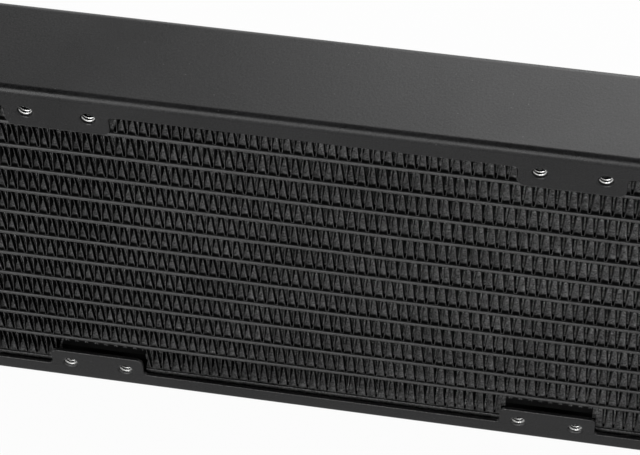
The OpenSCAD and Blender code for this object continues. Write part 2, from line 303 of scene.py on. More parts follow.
def core_paint(name, edge, inside, pale, gloss, distance, index, by_window=False):
    """Paint on the core: black where the spray reached, and further in a mist of it on bare metal, which is
    made lighter further in as painted light. Faces that face front or back take the edge colour, a painted
    highlight. The bare metal takes the pale colour where the point attribute marks a lower fold, which is
    painted light; with by_window it takes it between the tabs instead. Elsewhere it takes the inside colour,
    which on the fins' legs and on the strips behind the tabs is painted shade. In the lowest rows the spray
    ends a bit nearer the front, and the bare metal there is darkened as painted shade. Distances are in
    metres."""
    material, tree, output = empty_material(name)
    place = node(tree, "TexCoord").outputs["Object"]
    axes = node(tree, "SeparateXYZ", {0: place}).outputs
    facing = node(tree, "SeparateXYZ", {0: node(tree, "TexCoord").outputs["Normal"]}).outputs["Y"]
    # Painted highlight: faces that face front or back take the lighter edge colour.
    front_back_highlight = remap(tree, math_node(tree, "ABSOLUTE", facing), (0.75, 0.95))
    painted_edge_highlight = blend(tree, front_back_highlight, core_black, edge)
    painted = {"Vector": place, "Colour": painted_edge_highlight, "Dust": grey(0.05), "Gloss": gloss}
    grain = node(tree, "Group", painted, node_tree=grain_group).outputs
    # By window: pale between the tabs, black behind them as painted shade.
    if by_window:
        from_middle = math_node(tree, "PINGPONG", axes["X"], fan_half)
        lit_share = math_node(tree, "LESS_THAN", from_middle, lit_window_half)
    else:
        # Lower folds take the pale colour, a painted light.
        lit_share = node(tree, "Attribute", attribute_name="bend").outputs["Fac"]
    bare_and_painted_light = blend(tree, lit_share, inside, pale)
    limit = remap(tree, axes["Z"], low_rows, (distance + low_row_reach, distance))
    spray = {"Vector": place, "Distance": limit, "Run": spray_run}
    sprayed = node(tree, "Group", spray, node_tree=reach_group).outputs
    # Painted shade: the bare metal in the lowest rows is darkened.
    fade = remap(tree, axes["Z"], low_rows, (low_row_shade, 1.0))
    misted_and_lit = scaled(tree, bare_and_painted_light, math_node(tree, "MULTIPLY", sprayed["MistAndPaintedLight"], fade))
    misted_and_lit_looks = {"Vector": place, "Colour": misted_and_lit, "Dust": grey(0.6), "Gloss": 0.5}
    mist = node(tree, "Group", misted_and_lit_looks, node_tree=grain_group).outputs
    reach = sprayed["Painted"]
    colours = blend(tree, reach, mist["Colour"], grain["Colour"])
    rough = node(tree, "Mix", {0: reach, 2: mist["Roughness"], 3: grain["Roughness"]}).outputs[0]
    looks = {"Base Color": colours, "Roughness": rough, "IOR": index}
    coat(tree, output, looks, core_relief, grain["Height"])
    return material


def grid_faces(rows, columns, closed_rows=False, closed_columns=False):
    """Quads between neighbours in a grid of points; a closed direction joins its last line to its first."""
    row = np.arange(rows if closed_rows else rows - 1)[:, None]
    column = np.arange(columns if closed_columns else columns - 1)[None, :]
    next_row = (row + 1) % rows
    next_column = (column + 1) % columns
    corners = [row * columns + column, row * columns + next_column,
               next_row * columns + next_column, next_row * columns + column]
    return np.stack(corners, axis=-1).reshape(-1, 4)


def grid_patch(points, **closed):
    """A patch (points, faces) from an array of points with rows and columns."""
    rows, columns = points.shape[:2]
    return points.reshape(-1, 3), grid_faces(rows, columns, **closed)


def flat_patch(loops):
    """A flat face as a patch: the first loop of points bounds it, and the other loops are holes in it."""
    corners = [[Vector(point) for point in loop] for loop in loops]
    return np.concatenate(loops), np.array(tessellate_polygon(corners))


def arc(centre, radius, start, end, steps):
    """Points on a circle in a plane, from one angle to another in degrees, both ends included."""
    angle = np.radians(np.linspace(start, end, steps + 1))
    return np.stack([centre[0] + radius * np.cos(angle), centre[1] + radius * np.sin(angle)], axis=-1)


def placed(points, x=None, y=None, z=None):
    """Points in a plane set in space: they share the one coordinate that is given, and have the other two."""
    columns = iter(np.moveaxis(points, -1, 0))
    shape = points.shape[:-1]
    parts = [next(columns) if value is None else np.broadcast_to(value, shape) for value in (x, y, z)]
    return np.stack(parts, axis=-1)


def bar_loop(width, thick, steps=10):
    """Outline of a flat bar with full round ends, its long way along the first axis."""
    reach = (width - thick) / 2
    right = arc((reach, 0), thick / 2, -90, 90, steps)
    left = arc((-reach, 0), thick / 2, 90, 270, steps)
    return np.concatenate([right, left])


weld_reach = 0.002 * mm
sliver = 0.001 * mm


def make_piece(name, patches, material, body, stands_for=(), sharp=35):
    """One object from patches in millimetres: welded where they meet, turned outwards, smooth below the sharp
    angle in degrees, and with the normals of its flat faces kept flat."""
    starts = np.cumsum([0] + [len(points) for points, _ in patches])
    points = np.concatenate([points for points, _ in patches]) * mm
    faces = [face for (_, block), start in zip(patches, starts) for face in (block + start).tolist()]
    mesh = bpy.data.meshes.new(name)
    mesh.from_pydata(points.tolist(), [], faces)
    welded = bmesh.new()
    welded.from_mesh(mesh)
    bmesh.ops.remove_doubles(welded, verts=welded.verts, dist=weld_reach)
    bmesh.ops.dissolve_degenerate(welded, edges=welded.edges, dist=sliver)
    bmesh.ops.recalc_face_normals(welded, faces=welded.faces)
    welded.to_mesh(mesh)
    welded.free()
    mesh.polygons.foreach_set("use_smooth", np.ones(len(mesh.polygons), dtype=bool))
    mesh.set_sharp_from_angle(angle=math.radians(sharp))
    piece = bpy.data.objects.new(name, mesh)
    scene.collection.objects.link(piece)
    kept_flat = piece.modifiers.new("flat_faces", "WEIGHTED_NORMAL")
    kept_flat.keep_sharp = True
    mesh.materials.append(material)
    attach(piece, body)
    if stands_for:
        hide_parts(*stands_for)
    return piece


def flat_tube(height):
    """A tube as patches: its outline and two channels carried along X, and the rings that close the ends."""
    channel = (tube_depth - 3 * tube_wall) / 2
    hollow = bar_loop(channel, tube_thick - 2 * tube_wall, steps=6)
    shift = np.array([(channel + tube_wall) / 2, 0])
    loops = [bar_loop(tube_depth, tube_thick), hollow - shift, hollow + shift]
    patches = []
    for loop in loops:
        walls = [placed(loop + (0, height), x=x) for x in (-tube_half_length, tube_half_length)]
        patches.append(grid_patch(np.stack(walls), closed_columns=True))
    for x in (-tube_half_length, tube_half_length):
        patches.append(flat_patch([placed(loop + (0, height), x=x) for loop in loops]))
    return patches


# Tubes: faces that face front or back, on the noses, take a lighter grey as a painted highlight.
tube_paint = core_paint("tube_paint", grey(0.025), grey(0.235), grey(0.235), 0.42, 0.0099, 1.5)
for tube_name, tube_height in zip(tube_names, tube_heights):
    make_piece("flat_" + tube_name, flat_tube(tube_height), tube_paint, "radiator", [tube_name])

# Fin strips: twelve strips of thin aluminium, folded to a zigzag and cut into louvres along every leg.
# They are brazed between the tubes, are painted with the core, and behind the screw tabs are cut away.
braze_gap = 0.05
fin_height = tube_pitch - tube_thick - 2 * braze_gap
outer_rise = 1.25
fin_depth = 21.4
fin_sheet = 0.14
louvre_sheet = 0.1
crest_radius = 0.5
trough_radius = 0.34
fold_collar = 0.5
fold_steps = 6
half_wave = 1.31
last_fold = 134
louvre_pitch = 0.95
louvre_tilt = math.radians(19.0)
louvre_count = 8
fin_border = 1.5
row_heights = radiator_height / 2 + tube_pitch * (np.arange(fin_rows) - (fin_rows - 1) / 2)
row_heights[[0, -1]] += (-outer_rise / 2, outer_rise / 2)
window_half = 47.5
window_middles = (-120.0, 0.0, 120.0)
stub_collar = 0.4
stub_radius = 0.3
stub_sheet = 0.34
stub_steep = math.radians(84.0)
drift_size = 0.22
drift_rate = 0.045
drift_turn = 6.28
row_shift = 1.1
fold_scatter = 0.045
window_margin = 1.6
fin_sharp = math.radians(40.0)


def across(angle):
    """The direction that lies a quarter turn to the left of an angle, in X and Z."""
    return np.stack([-np.sin(angle), np.cos(angle)], axis=-1)


def ahead(angle):
    """The direction of an angle, in X and Z."""
    return np.stack([np.cos(angle), np.sin(angle)], axis=-1)


def fold_prisms(centre, bow, angle_in, angle_out, collar, thick=fin_sheet):
    """Folds of the sheet: its line turns round each centre from one angle to the other, with a straight
    collar before and after, is given its thickness and is carried through the depth. The bow is the fold's
    radius, signed by the side it lies on, and folds on the lower side are marked for a pale colour, which
    is painted light."""
    angle = angle_in[:, None] + (angle_out - angle_in)[:, None] * np.linspace(0, 1, fold_steps + 1)
    line = centre[:, None] + bow[:, None, None] * across(angle)
    first = line[:, :1] - collar * ahead(angle[:, :1])
    last = line[:, -1:] + collar * ahead(angle[:, -1:])
    line = np.concatenate([first, line, last], axis=1)
    left = across(np.concatenate([angle[:, :1], angle, angle[:, -1:]], axis=1))
    skin = np.array([-1, 1, 1, -1])[:, None] * thick / 2
    depth = np.array([-1, -1, 1, 1]) * fin_depth / 2
    flat = line[:, :, None] + left[:, :, None] * skin
    points = np.stack([flat[..., 0], np.broadcast_to(depth, flat.shape[:-1]), flat[..., 1]], axis=-1)
    count, steps = line.shape[:2]
    ring = grid_faces(steps, 4, closed_columns=True)[:, ::-1]
    ends = np.array([(0, 1, 2, 3), (3, 2, 1, 0)]) + np.array([[0], [4 * (steps - 1)]])
    faces = np.concatenate([ring, ends])
    pale = np.repeat(np.where(bow < 0, 1.0, 0.0), 4 * steps)
    return points.reshape(-1, 3), (faces + 4 * steps * np.arange(count)[:, None, None]).reshape(-1, 4), pale


def leg_slats(start, end, collar):
    """Legs of the sheet: plain borders in front, behind and in the middle, and between them slats that are
    each turned about the leg's own line, so that the front edges of the front half and the back edges of the
    back half stand out on the strip's upper side."""
    line = end - start
    length = np.linalg.norm(line, axis=-1, keepdims=True)
    line = line / length
    middle = (start + end) / 2
    outward = np.stack([line[:, 1], -line[:, 0]], axis=-1)
    inner = fin_depth / 2 - fin_border
    front = -inner + louvre_pitch * (np.arange(louvre_count) + 0.5)
    plain = inner - louvre_pitch * louvre_count
    border_middle = fin_depth / 2 - fin_border / 2
    place = np.concatenate([[-border_middle], front, [0], -front, [border_middle]])
    slat = np.full(louvre_count, louvre_pitch / 2)
    half = np.concatenate([[fin_border / 2], slat, [plain], slat, [fin_border / 2]])
    tilted = np.full(louvre_count, louvre_tilt)
    tilt = np.concatenate([[0], tilted, [0], -tilted, [0]])
    along = np.stack([line[:, 0], 0 * line[:, 0], line[:, 1]], axis=-1)[:, None]
    out = np.stack([outward[:, 0], 0 * outward[:, 0], outward[:, 1]], axis=-1)[:, None]
    broad = np.sin(tilt)[:, None] * out + np.cos(tilt)[:, None] * np.array([0, 1, 0])
    thin = np.cross(along, broad)
    at = np.stack([middle[:, 0], 0 * middle[:, 0], middle[:, 1]], axis=-1)[:, None]
    at = at + place[:, None] * np.array([0, 1, 0])
    reach = along * (length[:, None] / 2 - collar)
    corner = np.array([(a, b, c) for a in (-1, 1) for b in (-1, 1) for c in (-1, 1)])
    points = at[:, :, None] + corner[:, :1] * reach[:, :, None]
    points = points + corner[:, 1:2] * (broad * half[:, None])[:, :, None]
    sheet = np.where(tilt == 0, fin_sheet, louvre_sheet)
    points = points + corner[:, 2:] * (thin * sheet[:, None] / 2)[:, :, None]
    faces = np.array([(4, 6, 7, 5), (0, 1, 3, 2), (2, 3, 7, 6), (0, 4, 5, 1), (1, 5, 7, 3), (0, 2, 6, 4)])
    boxes = points.shape[0] * points.shape[1]
    return points.reshape(-1, 3), (faces + 8 * np.arange(boxes)[:, None, None]).reshape(-1, 4), 0.0


def folded_sheet(fold_x, side, height):
    """A zigzag of the given height through the given folds, whose sides alternate up and down and whose upper
    folds are rounder: each leg is the line that leaves one fold's circle and meets the next one's on the
    other side."""
    radius = np.where(side > 0, crest_radius, trough_radius)
    middle = np.stack([fold_x, side * ((height - fin_sheet) / 2 - radius)], axis=-1)
    step = np.diff(middle, axis=0)
    both = crest_radius + trough_radius
    length = np.sqrt((step ** 2).sum(axis=-1) - both ** 2)
    angle = np.arctan2(step[:, 1], step[:, 0]) - side[:-1] * np.arctan2(both, length)
    bow = side * radius
    start = middle[:-1] + bow[:-1, None] * across(angle)
    end = middle[1:] + bow[1:, None] * across(angle)
    angle_in = np.concatenate([-angle[:1], angle])
    angle_out = np.concatenate([angle, -angle[-1:]])
    return [fold_prisms(middle, bow, angle_in, angle_out, fold_collar), leg_slats(start, end, fold_collar)]


def fold_stubs(fold_x, side, height):
    """Single folds with short legs, all on one side of a strip of the given height."""
    sides = np.full(len(fold_x), side)
    middle = np.stack([fold_x, sides * ((height - stub_sheet) / 2 - stub_radius)], axis=-1)
    steep = np.full(len(fold_x), side * stub_steep)
    return [fold_prisms(middle, sides * stub_radius, steep, -steep, stub_collar, stub_sheet)]


def fin_strip(row, chance):
    """One strip as patches. Its folds stand half a wave apart, drift slowly and wander a little. The outer
    rows keep whole folds only in the windows between the tabs."""
    count = np.arange(-last_fold, last_fold + 1)
    phase = chance.uniform(0, drift_turn)
    drift = drift_size * np.sin(count * drift_rate + phase) + chance.uniform(-row_shift, row_shift)
    fold_x = count * half_wave + drift + chance.normal(0, fold_scatter, len(count))
    side = np.where(count % 2 == 0, 1.0, -1.0)
    if 0 < row < fin_rows - 1:
        return folded_sheet(fold_x, side, fin_height)
    tube_side = 1.0 if row == 0 else -1.0
    on_tube = side == tube_side
    patches = []
    away = np.ones(len(count), dtype=bool)
    for middle in window_middles:
        inside = np.abs(fold_x - middle) < window_half + window_margin
        ends = np.flatnonzero(inside & on_tube)[[0, -1]]
        whole = slice(ends[0], ends[1] + 1)
        patches += folded_sheet(fold_x[whole], side[whole], fin_height + outer_rise)
        away[whole] = False
    return patches + fold_stubs(fold_x[away & on_tube], tube_side, fin_height + outer_rise)


def make_fin(name, patches, height, material, stands_for):
    """A strip's object: its patches are closed prisms that only touch, so they are put together unwelded."""
    starts = np.cumsum([0] + [len(points) for points, *_ in patches])
    points = np.concatenate([points for points, *_ in patches]) + (0, 0, height)
    quads = np.concatenate([faces + start for (_, faces, _), start in zip(patches, starts)])
    # The lower folds' marks for their painted light go into a point attribute.
    bend = np.concatenate([np.broadcast_to(pale, len(points)) for points, _, pale in patches])
    mesh = bpy.data.meshes.new(name)
    mesh.vertices.add(len(points))
    mesh.vertices.foreach_set("co", (points * mm).ravel())
    mesh.loops.add(quads.size)
    mesh.loops.foreach_set("vertex_index", quads.ravel())
    mesh.polygons.add(len(quads))
    mesh.polygons.foreach_set("loop_start", 4 * np.arange(len(quads)))
    mesh.polygons.foreach_set("use_smooth", np.ones(len(quads), dtype=bool))
    mesh.update(calc_edges=True)
    mesh.attributes.new("bend", "FLOAT", "POINT").data.foreach_set("value", bend)
    mesh.set_sharp_from_angle(angle=fin_sharp)
    mesh.materials.append(material)
    piece = bpy.data.objects.new(name, mesh)
    scene.collection.objects.link(piece)
    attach(piece, "radiator")
    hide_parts(stands_for)


# Fins: faces that face front or back take a lighter grey as a painted highlight, the lower folds are pale as
# painted light, and the legs' bare metal is nearly black as painted shade.
fin_paint = core_paint("fin_paint", grey(0.05), grey(0.004), grey(0.34), 0.4, 0.0094, 1.08)
fin_chance = np.random.default_rng(11)
for fin_row, row_height in enumerate(row_heights):
    fin_name = f"fin_strip_{fin_row + 1:02d}"
    make_fin("louvred_" + fin_name, fin_strip(fin_row, fin_chance), row_height, fin_paint, fin_name)

# Support strips: flat aluminium bars that close the core above the last fins and below the first.
# They are brazed on with the fins, and are notched behind the tabs so that fan screws can come in.
# Strips: faces that face front or back take a lighter grey as painted light, and behind the tabs the tops are
# black as painted shade.
strip_paint = core_paint("strip_paint", grey(0.11), core_black, grey(0.16), 0.42, 0.0104, 1.4, by_window=True)


def repaint(node_name, material):
    """Paints a node of the model that keeps its own shape."""
    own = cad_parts[node_name].data.materials
    own.clear()
    own.append(material)


for strip_name in ("support_strip_bottom", "support_strip_top"):
    repaint(strip_name, strip_paint)

# Side plates: channels folded from one millimetre aluminium sheet and sprayed satin black.
# Each has a web and two flanges, whose tabs have fan holes drawn inwards, and is brazed to the core.
plate_sheet = 1.0
plate_depth_half = 13.5
bend_outer = 2.1
flange_top = 6.1
tab_top = 12.6
tab_corner = 2.0
tab_root = 1.0
plate_edge = 0.25
hole_height = 7.5
hole_places = (-172.5, -67.5, -52.5, 52.5, 67.5, 172.5)
hole_mouth = 2.4
hole_throat = 1.68
hole_lead = 0.75
hole_bore = 1.7
hole_depth = 2.5
collar_outer = 2.5
collar_foot = 2.9
lip_bevel = 0.1
collar_edge = 0.2
round_middle = 0.3
hole_steps = 32
bend_steps = 10
corner_steps = 6
# The painted highlight on the lower flanges' upper edge corners lies below this height, on faces tilted up
# but not nearly level.
low_edge = 0.0135
nearly_level = 0.92


def black_paint(name, colour, dust, gloss, relief, index, edge=None):
    """Satin black paint from the grain group; relief is the orange peel's depth in metres, index the IOR.
    Where an edge colour is given, it is a painted highlight on the rounded corners of the lower flanges'
    upper edges."""
    material, tree, output = empty_material(name)
    place = node(tree, "TexCoord").outputs["Object"]
    # Painted highlight: the rounded corners of the lower flanges' upper edges take the lighter edge colour.
    if edge:
        height = node(tree, "SeparateXYZ", {0: place}).outputs["Z"]
        upward = node(tree, "SeparateXYZ", {0: node(tree, "TexCoord").outputs["Normal"]}).outputs["Z"]
        turned_up = remap(tree, upward, (0.2, 0.5))
        corner = math_node(tree, "MULTIPLY", turned_up, math_node(tree, "LESS_THAN", upward, nearly_level))
        painted_edge_highlight = math_node(tree, "MULTIPLY", corner, math_node(tree, "LESS_THAN", height, low_edge))
        colour = blend(tree, painted_edge_highlight, colour, edge)
    laid = {"Vector": place, "Colour": colour, "Dust": dust, "Gloss": gloss}
    grain = node(tree, "Group", laid, node_tree=grain_group).outputs
    looks = {"Base Color": grain["Colour"], "Roughness": grain["Roughness"], "IOR": index}
    coat(tree, output, looks, relief, grain["Height"])
    return material


def quarter_turn(steps):
    """Angles from nought to a quarter turn, both ends included."""
    return np.radians(np.linspace(0, 90, steps + 1))


def flange_edge(inset):
    """The flange's free edge from end to end, drawn in by an inset: along a tab, down its rounded side, round
    the hollow corner, along the window and up the next tab."""
    outer, hollow = tab_corner - inset, tab_root + inset
    top, foot = tab_top - tab_corner, flange_top + tab_root
    tab_x, root_x = window_half + tab_corner, window_half - tab_root
    window = np.concatenate([arc((-tab_x, top), outer, 90, 0, corner_steps),
                             arc((-root_x, foot), hollow, 180, 270, corner_steps),
                             arc((root_x, foot), hollow, 270, 360, corner_steps),
                             arc((tab_x, top), outer, 180, 90, corner_steps)])
    windows = [window + (middle, 0) for middle in window_middles]
    ends = np.array([(-core_half, tab_top - inset), (core_half, tab_top - inset)])
    return np.concatenate([ends[:1], *windows, ends[1:]])


def rounded_edge(radius, thick):
    """Insets and depths across a sheet's rounded edge, from its front face round to its back face."""
    angle = quarter_turn(4)
    front = np.stack([radius * (1 - np.sin(angle)), radius * (1 - np.cos(angle))], axis=-1)
    back = np.stack([front[::-1, 0], thick - front[::-1, 1]], axis=-1)
    return np.concatenate([front, back])


def turned(profile, steps):
    """A profile of (radius, depth) turned about its axis, rows along the profile and columns round it; gives
    the two coordinates across the axis and the depth along it."""
    angle = np.linspace(0, 2 * np.pi, steps, endpoint=False)
    profile = np.asarray(profile, dtype=float)
    radius, depth = profile[:, :1], np.repeat(profile[:, 1:], steps, axis=1)
    return np.stack([radius * np.cos(angle), radius * np.sin(angle), depth], axis=-1)


def drawn_hole_profile():
    """Radius and depth down a drawn fan hole: rounded into its mouth, down the bore, round the collar's end
    and back up its outside to a small hollow at the sheet."""
    mouth = hole_mouth - hole_throat
    lead = quarter_turn(6)
    funnel = np.stack([hole_mouth - mouth * np.sin(lead), hole_lead * (1 - np.cos(lead))], axis=-1)
    bow = round_middle * collar_edge
    lip = [(hole_bore, hole_depth - lip_bevel), (hole_bore + lip_bevel, hole_depth),
           (collar_outer - collar_edge, hole_depth), (collar_outer - bow, hole_depth - bow),
           (collar_outer, hole_depth - collar_edge)]
    foot = collar_foot - collar_outer
    back = quarter_turn(4)
    hollow = np.stack([collar_foot - foot * np.cos(back), plate_sheet + foot * (1 - np.sin(back))], axis=-1)
    return np.concatenate([funnel, lip, hollow])


def side_plate(upper):
    """A channel as patches: the folded web carried along X, two pierced flanges with rounded edges, the drawn
    holes, and a flat cut at each end."""
    bend_inner = bend_outer - plate_sheet
    bend_y = plate_depth_half - bend_outer
    ends = np.array([-core_half, core_half])
    skins = []
    for radius in (bend_outer, bend_inner):
        skins.append(np.concatenate([arc((-bend_y, bend_outer), radius, 180, 270, bend_steps),
                                     arc((bend_y, bend_outer), radius, 270, 360, bend_steps)]))
    patches = []
    for skin in skins:
        patches.append(grid_patch(np.stack([placed(skin, x=x) for x in ends])))
    rim = rounded_edge(plate_edge, plate_sheet)
    edges = np.stack([flange_edge(inset) for inset, _ in rim])
    hole = turned(drawn_hole_profile(), hole_steps)
    foot = np.array([(core_half, bend_outer), (-core_half, bend_outer)])
    end_loops = {}
    for face in (-1, 1):
        depth = face * (plate_depth_half - rim[:, 1])
        rings = placed(edges, y=depth[:, None])
        patches.append(grid_patch(rings))
        for level, circle in ((0, hole[0]), (-1, hole[-1])):
            outline = np.concatenate([edges[level], foot])
            holes = [circle[:, :2] + (x, hole_height) for x in hole_places]
            patches.append(flat_patch([placed(loop, y=depth[level]) for loop in [outline, *holes]]))
        for x in hole_places:
            across_hole = hole[..., :2] + (x, hole_height)
            patches.append(grid_patch(placed(across_hole, y=face * (plate_depth_half - hole[..., 2])),
                                      closed_columns=True))
        end_loops[face] = rings
    for column, x in ((0, ends[0]), (-1, ends[1])):
        loop = np.concatenate([placed(skins[0], x=x), end_loops[1][:, column],
                               placed(skins[1][::-1], x=x), end_loops[-1][::-1, column]])
        patches.append(flat_patch([loop]))
    if upper:
        patches = [(points * (1, 1, -1) + (0, 0, radiator_height), faces) for points, faces in patches]
    return patches


# The frame paint's last colour is the painted highlight on the lower flanges' upper edge corners.
frame_paint = black_paint("frame_paint", (0.008, 0.008, 0.0083, 1), grey(0.05), 0.31, 0.00003, 1.37,
                          grey(0.045))
plate_sides = (("bottom", False), ("top", True))
for plate, upper in plate_sides:
    make_piece("side_channel_" + plate, side_plate(upper), frame_paint, "radiator",
               ["side_plate_" + plate])

# Screw threads: the fan holes are tapped after painting, so their threads are bare bright aluminium.
# One thread runs through each drawn collar, three and a half millimetres across with 0.8 to the turn.
screw_pitch = 0.8
screw_root = 1.67
screw_crest = 1.37
screw_sleeve = 1.74
screw_start = 0.6
screw_end = 2.46
screw_steps = 48
screw_rows = 16
ridge_foot = 0.62
ridge_flank = 0.42
run_out = 0.4
# Painted shade in the thread roots: how far out from the root it reaches, over what run it fades, and what
# share of it the lower plate gets.
root_shade_reach = 0.14
root_shade_run = 0.08
lower_root_shade = 0.15


def threaded_wall(root, crest, pitch, low, high, steps, rows_per_turn):
    """A thread on a wall round an axis, as a grid of radius over angle and depth: the radius swings from root
    to crest and back once in a pitch, shifted by one pitch in a turn, and runs out at both ends."""
    rows = int((high - low) / pitch * rows_per_turn) + 1
    depth = np.linspace(low, high, rows)[:, None]
    angle = np.linspace(0, 2 * np.pi, steps, endpoint=False)[None, :]
    phase = (depth / pitch - angle / (2 * np.pi)) % 1.0
    ridge = np.clip((ridge_foot - np.abs(2 * phase - 1)) / ridge_flank, 0, 1)
    fade = np.clip(np.minimum(depth - low, high - depth) / (run_out * pitch), 0, 1)
    radius = root + (crest - root) * ridge * fade
    return np.stack([radius * np.cos(angle), radius * np.sin(angle), depth + 0 * angle], axis=-1)


def bare_metal(name, colour, gloss, scratch):
    """Bare cut or plated metal: fine tool marks shift its tone and gloss, and give it a little height. Its
    colour is darkened in the roots of a thread, which the groove attribute marks, as painted shade."""
    material, tree, output = empty_material(name)
    place = node(tree, "TexCoord").outputs["Object"]
    marks = noise(tree, place, 3200.0, 2.0)
    cloud = noise(tree, place, 260.0, 3.0)
    tone = remap(tree, cloud, (0.3, 0.7), (0.78, 1.0))
    groove = node(tree, "Attribute", attribute_name="groove").outputs["Fac"]
    # Painted shade: the colour falls to 0.12 of itself in the thread roots.
    root_shade = remap(tree, groove, (0.0, 1.0), (1.0, 0.12))
    toned = scaled(tree, colour, math_node(tree, "MULTIPLY", tone, root_shade))
    rough = remap(tree, marks, (0.0, 1.0), (gloss - 0.08, gloss + 0.12))
    coat(tree, output, {"Base Color": toned, "Roughness": rough, "Metallic": 1.0}, scratch, marks)
    return material


def screw_threads(upper):
    """The threads of one side plate as patches: each is a sleeve whose inside is threaded."""
    thread = threaded_wall(screw_root, screw_crest, screw_pitch, screw_start, screw_end, screw_steps,
                           screw_rows)
    back = turned([(screw_sleeve, screw_end), (screw_sleeve, screw_start)], screw_steps)
    sleeve = np.concatenate([thread, back])
    height = radiator_height - hole_height if upper else hole_height
    patches = []
    for x in hole_places:
        for face in (-1, 1):
            ring = placed(sleeve[..., :2] + (x, height), y=face * (plate_depth_half - sleeve[..., 2]))
            patches.append(grid_patch(ring, closed_rows=True, closed_columns=True))
    return patches


def mark_roots(piece, upper):
    """Marks the roots of a plate's threads for painted shade in the groove attribute, by each point's
    distance from the nearest axis. The lower plate's roots get less of that painted shade."""
    mesh = piece.data
    points = np.empty(3 * len(mesh.vertices), dtype=np.float32)
    mesh.vertices.foreach_get("co", points)
    points = points.reshape(-1, 3) / mm
    height = radiator_height - hole_height if upper else hole_height
    across_hole = np.abs(points[:, :1] - np.array(hole_places)).min(axis=1)
    radius = np.hypot(across_hole, points[:, 2] - height)
    root = np.clip((radius - screw_root + root_shade_reach) / root_shade_run, 0, 1)
    root = root * (1.0 if upper else lower_root_shade)
    mesh.attributes.new("groove", "FLOAT", "POINT").data.foreach_set("value", root.astype(np.float32))


cut_metal = bare_metal("cut_metal", (0.72, 0.72, 0.71), 0.2, 0.000004)
for plate, upper in plate_sides:
    threads = make_piece("screw_threads_" + plate, screw_threads(upper), cut_metal, "radiator",
                         sharp=30)
    mark_roots(threads, upper)

# Header plates: shallow pressed trays at the ends of the core, with a slot for each tube.
# The tubes are brazed into the slots, and the tray's rim takes the edge of the tank.
header_sheet = 1.2
rim_sheet = 1.0
rim_end = 185.2
tray_edge = 0.6
lip_edge = 0.3
tray_corner = 2.1
slot_gap = 0.05
least_corner = 0.4


def rounded_loop(half_depth, half_height, corner):
    """Outline of a rounded rectangle in Y and Z, round the middle of the radiator's height."""
    corners = []
    for side_y, side_z, start in ((1, -1, -90), (1, 1, 0), (-1, 1, 90), (-1, -1, 180)):
        middle = (side_y * (half_depth - corner), side_z * (half_height - corner))
        corners.append(arc(middle, corner, start, start + 90, corner_steps))
    return np.concatenate(corners) + (0, radiator_height / 2)


def ring_walls(profile, half_depth, half_height, corner):
    """A profile of (inset, X) carried round a rounded rectangle, whose corners tighten with the inset."""
    rings = []
    for inset, x in profile:
        tight = max(corner - inset, least_corner)
        rings.append(placed(rounded_loop(half_depth - inset, half_height - inset, tight), x=x))
    return np.stack(rings)


def header_tray(end):
    """A tray as patches: its wall's profile carried round, two pierced floor faces and the slots' walls."""
    turn = quarter_turn(4)
    foot = np.stack([tray_edge * (1 - np.sin(turn)), core_half + tray_edge * (1 - np.cos(turn))], axis=-1)
    lip = np.stack([lip_edge * (1 - np.cos(turn)), rim_end - lip_edge * (1 - np.sin(turn))], axis=-1)
    back_lip = np.stack([rim_sheet - lip[::-1, 0], lip[::-1, 1]], axis=-1)
    profile = np.concatenate([foot, lip, back_lip, [(rim_sheet, core_half + header_sheet)]])
    wall = ring_walls(profile, plate_depth_half, radiator_height / 2, tray_corner)
    slot = bar_loop(tube_depth + 2 * slot_gap, tube_thick + 2 * slot_gap)
    slots = [slot + (0, height) for height in tube_heights]
    patches = [grid_patch(wall, closed_columns=True)]
    floors = (core_half, core_half + header_sheet)
    for x, ring in zip(floors, (wall[0], wall[-1])):
        patches.append(flat_patch([ring] + [placed(loop, x=x) for loop in slots]))
    for loop in slots:
        patches.append(grid_patch(np.stack([placed(loop, x=x) for x in floors]), closed_columns=True))
    return [(points * (end, 1, 1), faces) for points, faces in patches]


for tray_name, tray_end in (("inlet", 1), ("return", -1)):
    make_piece("header_tray_" + tray_name, header_tray(tray_end), frame_paint, "radiator",
               [tray_name + "_header_plate"])

# Tanks: deep drawn aluminium caps that sit in the header plates' rims and are brazed there.
# The one at the port end is parted by a plain wall inside, so that the liquid goes out and comes back.
tank_start = 181.2
tank_end = 197.0
tank_sheet = 1.2
tank_half_depth = 12.45
tank_half_height = 58.95
tank_corner = 1.05
tank_round = 3.0
spigot_hole = 8.05
spigot_steps = 48
port_heights = {"inlet": 90.0, "outlet": 30.0}
bleed_height = 96.0


def tank_cap(end, hole_heights):
    """A cap as patches: the profile of its wall, rounded into the end, carried round outside and inside, two
    pierced end faces, and the walls of the port holes."""
    turn = quarter_turn(8)

    def skin(inset):
        """The cap's wall at an inset from its outside, as rings of points."""
        bow = tank_round - inset
        in_from_side = inset + bow * (1 - np.cos(turn))
        out_to_end = tank_end - inset - bow * (1 - np.sin(turn))
        profile = np.concatenate([[(inset, tank_start)], np.stack([in_from_side, out_to_end], axis=-1)])
        return ring_walls(profile, tank_half_depth, tank_half_height, tank_corner + inset)

    outer, inner = skin(0.0), skin(tank_sheet)
    patches = [grid_patch(outer, closed_columns=True), grid_patch(inner, closed_columns=True)]
    patches.append(grid_patch(np.stack([outer[0], inner[0]]), closed_columns=True))
    circle = turned([(spigot_hole, 0)], spigot_steps)[0, :, :2]
    holes = [circle + (0, height) for height in hole_heights]
    ends = (tank_end, tank_end - tank_sheet)
    for x, ring in zip(ends, (outer[-1], inner[-1])):
        patches.append(flat_patch([ring] + [placed(loop, x=x) for loop in holes]))
    for loop in holes:
        patches.append(grid_patch(np.stack([placed(loop, x=x) for x in ends]), closed_columns=True))
    return [(points * (end, 1, 1), faces) for points, faces in patches]


